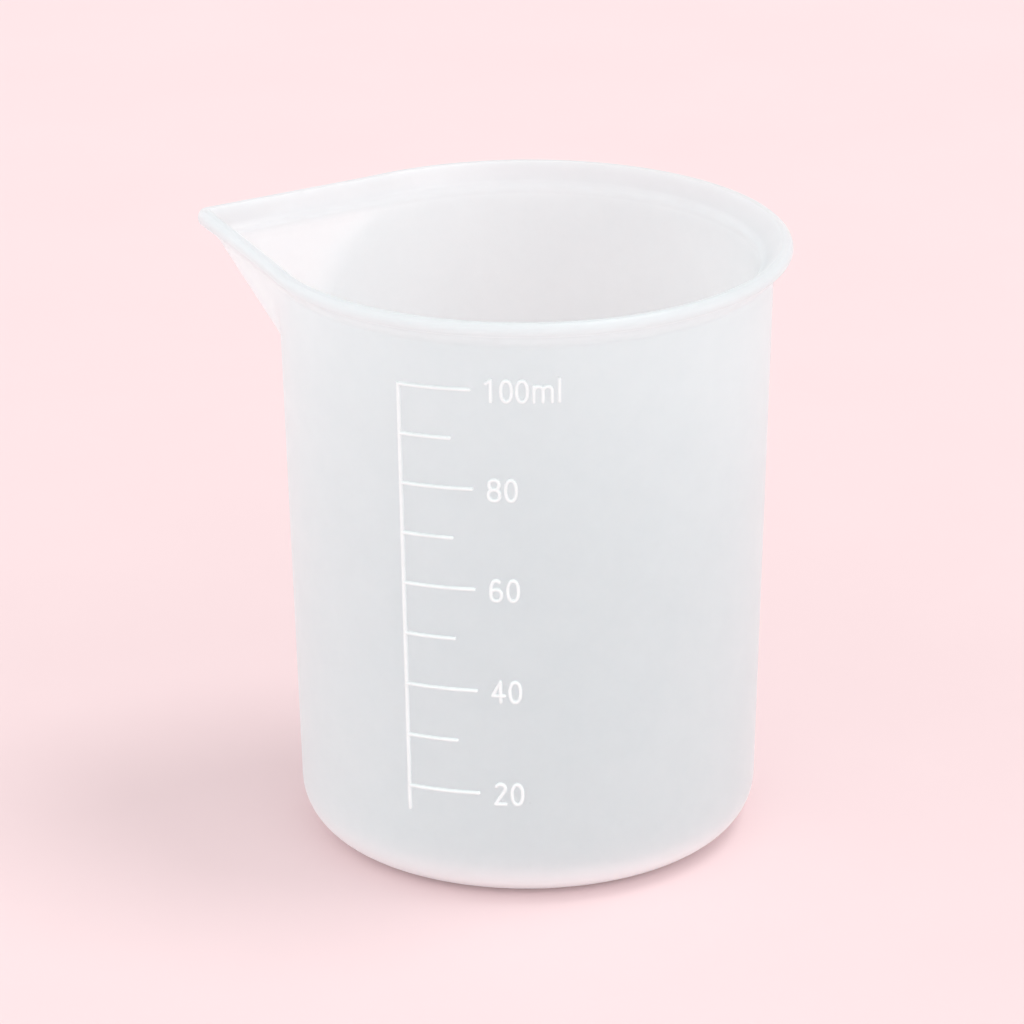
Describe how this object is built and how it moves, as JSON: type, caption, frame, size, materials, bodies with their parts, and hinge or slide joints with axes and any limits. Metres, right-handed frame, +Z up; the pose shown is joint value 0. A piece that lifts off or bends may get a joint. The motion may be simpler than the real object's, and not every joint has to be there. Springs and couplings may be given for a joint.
{
  "type": "graduated silicone pouring cup",
  "caption": "Tapered translucent silicone cup with a flared rounded lip, a pointed pouring spout and a raised millilitre scale, for measuring, mixing and pouring casting resin.",
  "frame": {"origin": "centre of the flat underside", "axes": "+Z up along the cup's axis, -X towards the spout's tip, -Y through the middle of the scale"},
  "size_m": [0.0643, 0.0558, 0.0653],
  "materials": {
    "silicone": "translucent milky silicone, satin",
    "relief": "raised silicone strokes, whiter than the wall, satin"
  },
  "bodies": {
    "root": {"cup_base": "silicone", "cup_wall": "silicone", "rim_lip": "silicone", "pouring_spout": "silicone", "scale_line": "relief", "tick_20": "relief", "tick_30": "relief", "tick_40": "relief", "tick_50": "relief", "tick_60": "relief", "tick_70": "relief", "tick_80": "relief", "tick_90": "relief", "tick_100": "relief", "label_20": "relief", "label_40": "relief", "label_60": "relief", "label_80": "relief", "label_100": "relief"}
  },
  "joints": []
}
